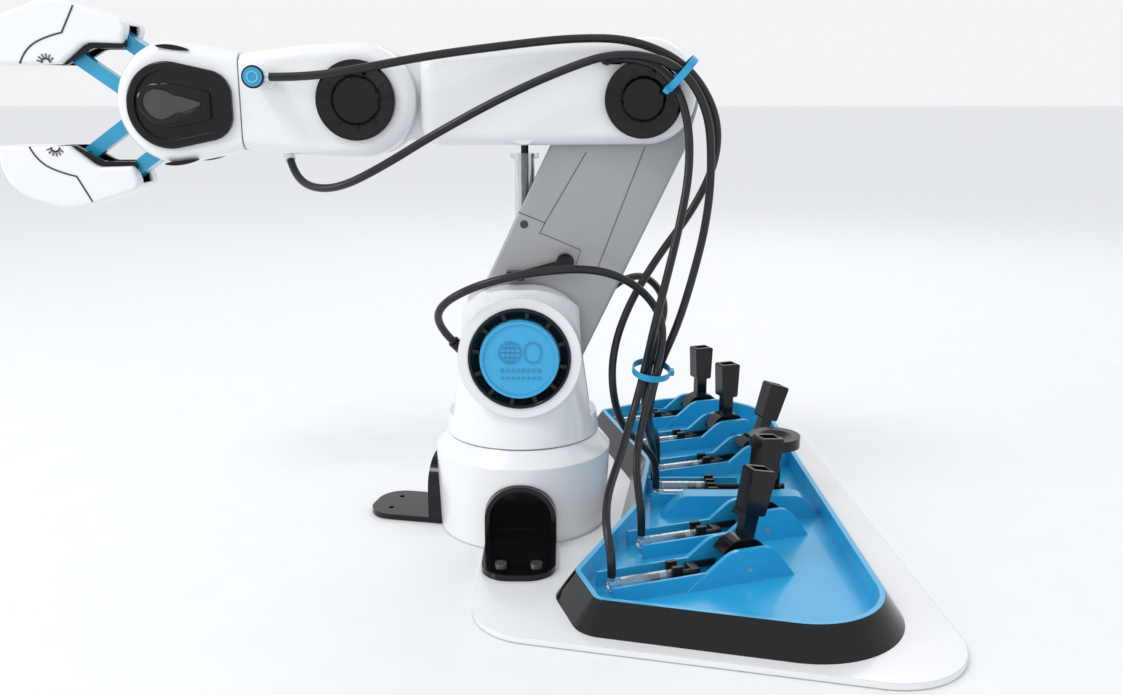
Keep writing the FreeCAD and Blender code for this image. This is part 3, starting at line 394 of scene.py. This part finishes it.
def add_head_details():
    tear = [(-182.5, 219), (-182.5, 228), (-174, 232.8), (-165, 229.5), (-150, 224.6),
            (-147.8, 222.2), (-150, 219.6), (-165, 214.5), (-174, 211.4)]
    tear = eased(tear, True, 5)
    middle = eased([(-179.5, 220), (-179.5, 226.5), (-173.5, 230), (-165, 227), (-152.5, 223.2),
                    (-151.8, 222.2), (-152.5, 221.2), (-165, 217), (-173.5, 214)], True, 5)
    for side, face in (("front", COVER_FACE), ("rear", -COVER_FACE)):
        face_plate("head_tear_rim_%s" % side, tear, face - math.copysign(1.4, face), 2.0,
                   LOOKS["black_gloss"], "head", 1.1, 0.9)
        face_plate("head_tear_middle_%s" % side, middle, face - math.copysign(0.8, face), 0.9,
                   CHARCOAL, "head", 0.3)
    for flip in (False, True):
        for side, face in (("front", VENT_FACE), ("rear", -VENT_FACE)):
            rise = [(-175, 0), (-165, 1.9), (-154, -0.7), (-165, -1.3)]
            lens = [(x, 249.4 + z - (x + 175) * 0.09) for x, z in rise]
            outline = eased(mirrored(lens) if flip else lens, True, 6)
            face_plate("head_vent_%s_%s" % (side, "low" if flip else "high"), outline, face, 4.2,
                       LOOKS["black_gloss"], "head", 0.2)


def add_arm_details():
    left_seam = [(33, 199), (12.3, 163.9), (9.5, 158.2)]
    jogs = (
        ("jog_short", [(-1.2, 169.4), (12.6, 163.9)]),
        ("jog_long", [(10.4, 158.7), (30.4, 150.3), (27.6, 141)]),
        ("left", left_seam),
        ("right", [(62, 201.5), (39, 141)]),
    )
    for label, points in jogs:
        for side, face in (("front", ARM_FACE), ("rear", -ARM_FACE)):
            face_strip("arm_line_%s_%s" % (label, side), points, face, 0.6, GREY_LINE, "upper_arm",
                       0.12)
    for side, face in (("front", ARM_FACE), ("rear", -ARM_FACE)):
        face_plate("arm_screw_%s" % side, circle_points((1.9, 163.2), 2.1), face, 0.25,
                   BLACK_LINE, "upper_arm", 0.5, 0.2)


def add_badge_motif():
    """A raised rim, a plain globe, a rounded bar and two rows of small marks."""
    centre = SHOULDER
    face = BADGE_FACE
    look = LOOKS["blue_tray"]
    face_strip("badge_rim", circle_points(centre, 18.6, 72), face, 1.6, look, "turret",
               0.8, True)
    globe = (-4.6, 103.6)
    reach = 5.2
    face_strip("badge_globe", circle_points(globe, 5.4, 40), face, 0.6, BLUE_SHADE, "turret",
               0.5, True)
    for number, squeeze in enumerate((0.0, 0.45, -0.45)):
        line = [(globe[0] + reach * squeeze * math.cos(angle), globe[1] + reach * math.sin(angle))
                for angle in np.linspace(-math.pi / 2, math.pi / 2, 15)]
        face_strip("badge_meridian_%d" % number, line, face, 0.45, BLUE_SHADE, "turret",
                   0.4)
    for number, rise in enumerate((-2.4, 0, 2.4)):
        half = math.sqrt(reach ** 2 - rise ** 2)
        line = [(globe[0] - half, globe[1] + rise), (globe[0] + half, globe[1] + rise)]
        face_strip("badge_parallel_%d" % number, line, face, 0.45, BLUE_SHADE, "turret",
                   0.4)
    bar = eased([(2.6, 98.6), (9.6, 98.6), (11, 103.6), (9.6, 108.6), (2.6, 108.6)], True, 5)
    face_strip("badge_bar", bar, face, 0.7, BLUE_SHADE, "turret", 0.5, True)
    for row, (height, width) in enumerate(((94.6, 1.7), (90.9, 1.1))):
        for mark in range(8):
            x = -9.2 + mark * 2.6
            face_strip("badge_mark_%d_%d" % (row, mark), [(x, height), (x + 1.5, height)], face,
                       width, BLUE_SHADE, "turret", 0.4)


def ring_band(name, centre, normal, radius, width, thickness, look, body, node_name):
    """A flat strap closed round a bundle, standing for a tie of the frame."""
    frame_turn = Vector((0, 0, 1)).rotation_difference(Vector(normal).normalized())
    vertices = []
    steps = 56
    for step in range(steps):
        angle = 2 * math.pi * step / steps
        for out, along in ((-thickness, -width), (thickness, -width), (thickness, width),
                           (-thickness, width)):
            reach = radius + out / 2
            local = Vector((reach * math.cos(angle), reach * math.sin(angle), along / 2))
            vertices.append((Vector(centre) + frame_turn @ local) * MM)
    faces = []
    for step in range(steps):
        a = step * 4
        b = ((step + 1) % steps) * 4
        for corner in range(4):
            after = (corner + 1) % 4
            faces.append((a + corner, a + after, b + after, b + corner))
    band = add_mesh(name, vertices, faces, look, body)
    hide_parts(node_name)
    lock = Vector(centre) + frame_turn @ Vector((radius + 0.6, 0, 0))
    sides = [(dx, dy, dz) for dx in (-1.4, 1.4) for dy in (-2, 2) for dz in (-1.5, 1.5)]
    corners = [(lock + frame_turn @ Vector(step)) * MM for step in sides]
    knot = add_mesh(name + "_lock", corners, BLOCK_FACES, look, body)
    knot.modifiers.new("rounded", "BEVEL").width = 0.0005
    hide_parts(node_name)


def add_hose_sockets():
    """The clear blue knob on the roll hose's inlet, with its dark collar."""
    knob = [metres((INLET_KNOB[0], y, INLET_KNOB[1])) for y in (-38, -41, -45.5, -46.2)]
    vertices, faces = tube_mesh(knob, 4.4 * MM, 32)
    add_mesh("roll_inlet_knob", vertices, faces, LOOKS["blue_link"], "wrist")
    collar = circle_points(INLET_KNOB, 4.7, 40)
    face_strip("roll_inlet_collar", collar, -45.3, 1.1, LOOKS["plunger_black"], "wrist",
               0.5, True)
    face_strip("roll_inlet_mark", circle_points(INLET_KNOB, 2.4, 30), -46.2, 0.7, SKY_BAND,
               "wrist", 0.4, True)


CHANNELS = {1: (43, -102), 2: (60, -55), 3: (77, 51), 4: (67, 99), 5: (56, 146)}
CHANNEL_TURN = math.radians(20)
SYRINGE_HEIGHT = 9.0


def add_piston_bands():
    """A sky-blue band and a black rubber ring on each piston, seen through the clear barrel."""
    rows = [("lever_plunger_%d" % number, x, y, CHANNEL_TURN)
            for number, (x, y) in CHANNELS.items()]
    rows += [("yaw_plunger_front", 73, 11, 0.0), ("yaw_plunger_rear", 73, 24, 0.0)]
    for body, x, y, turn in rows:
        along = Vector((math.cos(turn), math.sin(turn), 0))
        start = Vector((x, y, SYRINGE_HEIGHT))
        for label, near, far, look in (("band", 24.2, 27.2, SKY_BAND),
                                       ("rubber", 20.6, 22.2, LOOKS["plunger_black"])):
            ends = [(start + along * near) * MM, (start + along * far) * MM]
            vertices, faces = tube_mesh(ends, 2.26 * MM, 28)
            add_mesh("%s_%s" % (body, label), vertices, faces, look, body)


# ---------------------------------------------------------------- hoses
ROLL_HOSE = [(-114.5, -41, 234.5), (-97, -41, 234.5), (-74, -40, 238), (-40, -35, 244.5),
             (-6, -31, 249), (26, -30, 252.5), (54, -32, 252), (79.5, -33.5, 241),
             (95, -29, 219), (97, -22, 196), (87, -15, 171), (69, -13, 146), (54, -17, 121),
             (46.5, -22, 98), (47, -22, 76), (53, -14, 56), (64, -1, 43), (71.5, 8.5, 32),
             (73.5, 11, 21), (73.5, 11, 13)]
WRIST_HOSE = [(-115.6, -6.8, 194.7), (-112.8, -10.5, 187.3), (-103, -18.5, 181.5),
              (-87, -27.5, 182.5), (-66, -34, 192.5), (-40, -37, 208), (-9, -37, 224.5),
              (19, -37, 237), (46, -39.5, 246), (75, -41, 241), (90, -36, 220), (93, -32, 192),
              (91.5, -30, 166), (86, -29, 140), (79, -27.5, 114), (70.2, -22.8, 91),
              (67.5, -6, 66), (70, 22, 45), (76, 43.5, 34.5), (77.5, 51.2, 23), (77.5, 51.2, 13)]
ELBOW_HOSE = [(49, -30, 243), (61, -30, 243), (74, -33.5, 233), (80.5, -37.5, 215),
              (81.5, -40, 192), (77, -43, 166), (70.5, -45, 138), (65.5, -41.5, 114),
              (62.6, -28.8, 91), (57, -35, 71), (49, -55, 53), (42, -78, 43), (41, -94, 34),
              (43.5, -101.8, 23), (43.5, -101.8, 13)]
TURRET_FRONT_HOSE = [(-34, -24, 105), (-41, -30, 114), (-39, -42, 127), (-20, -50, 138.5),
                     (8, -50.5, 145), (38, -45, 146), (60, -36, 135), (72.5, -31, 116),
                     (69, -29.3, 91), (62, -36, 69), (57.5, -46, 49), (59, -52.5, 34),
                     (60.5, -54.8, 23), (60.5, -54.8, 13)]
TURRET_REAR_HOSE = [(34, 24, 105), (41, 30, 114), (52, 26, 128), (66, 11, 134), (75.5, -7, 123),
                    (70, -18.5, 106), (64.5, -22.2, 89), (64, -13, 66), (67.5, 8, 47),
                    (72, 21, 35), (73.5, 24, 23), (73.5, 24, 13)]

# A hose has gone over the elbow once it is this far along X and falling.
PAST_SHOULDER = 40

# Each joint that a hose crosses: the two bodies, where the hose starts and ends to follow the
# second one, and the height or place where the next stretch takes over.
OVER_WRIST = ("wrist", "forearm", (-104, -35, 225), (-48, -35, 225), ("x", -20))
OVER_ELBOW = ("forearm", "upper_arm", (30, -35, 248), (82, -35, 236), ("z_down", 222))
OVER_ELBOW_SHORT = ("forearm", "upper_arm", (54, -30, 243), (78, -35, 228), ("z_down", 222))
OVER_SHOULDER = ("upper_arm", "turret", (85, -30, 215), (70, -30, 120), ("z_down", 110))
OVER_YAW = ("turret", "root", (66, -26, 86), (66, -26, 18), None)
HOSES = {
    "roll_hose": (ROLL_HOSE, (OVER_WRIST, OVER_ELBOW, OVER_SHOULDER, OVER_YAW)),
    "wrist_hose": (WRIST_HOSE, (OVER_WRIST, OVER_ELBOW, OVER_SHOULDER, OVER_YAW)),
    "elbow_hose": (ELBOW_HOSE, (OVER_ELBOW_SHORT, OVER_SHOULDER, OVER_YAW)),
    "turret_front_hose": (TURRET_FRONT_HOSE, (OVER_YAW,)),
    "turret_rear_hose": (TURRET_REAR_HOSE, (OVER_YAW,)),
}


def cut_index(line, start, rule):
    """The first point past start that reaches a stretch's far place."""
    if rule is None:
        return len(line) - 1
    kind, limit = rule
    for index in range(start + 1, len(line)):
        here = line[index]
        if kind == "x" and here.x > limit * MM:
            return index
        if kind == "z_down" and here.x > PAST_SHOULDER * MM and here.z < limit * MM:
            return index
    return len(line) - 1


def make_hose(node_name, route, stretches):
    """A hose as tubes end to end, each of which runs across one joint."""
    line = smooth_line([metres(point) for point in route], False, 10)
    tube_vertices, _ = tube_mesh(line, HOSE_DIAMETER / 2 * MM)
    sides = HOSE_SIDES
    start = 0
    for number, (first, second, begin, end, rule) in enumerate(stretches, start=1):
        stop = cut_index(line, start, rule)
        vertices = tube_vertices[start * sides:(stop + 1) * sides]
        rings = stop - start
        faces = [(ring * sides + step, ring * sides + (step + 1) % sides,
                  (ring + 1) * sides + (step + 1) % sides, (ring + 1) * sides + step)
                 for ring in range(rings) for step in range(sides)]
        faces.append(tuple(reversed(range(sides))))
        faces.append(tuple(range(rings * sides, (rings + 1) * sides)))
        piece = add_mesh("%s_%d" % (node_name, number), vertices, faces, LOOKS["hose_black"], None)
        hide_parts(node_name)
        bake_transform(piece)
        start = stop


# ---------------------------------------------------------------- build
make_studio()
make_camera()
finish_cad_nodes()
add_jaw_details()
add_head_details()
add_arm_details()
add_badge_motif()
add_piston_bands()
add_hose_sockets()
ring_band("elbow_strap", (76.5, -38.4, 236), (0.75, 0, -0.66), 9.6, 3.4, 0.5, LOOKS["blue_tie"],
          "upper_arm", "elbow_hose_tie")
ring_band("turret_strap", (66.4, -26, 90.5), (0.1, -0.25, 1), 9.6, 3.4, 0.5, LOOKS["blue_tie"],
          "turret", "turret_hose_tie")
for hose_node, (hose_route, hose_stretches) in HOSES.items():
    make_hose(hose_node, hose_route, hose_stretches)
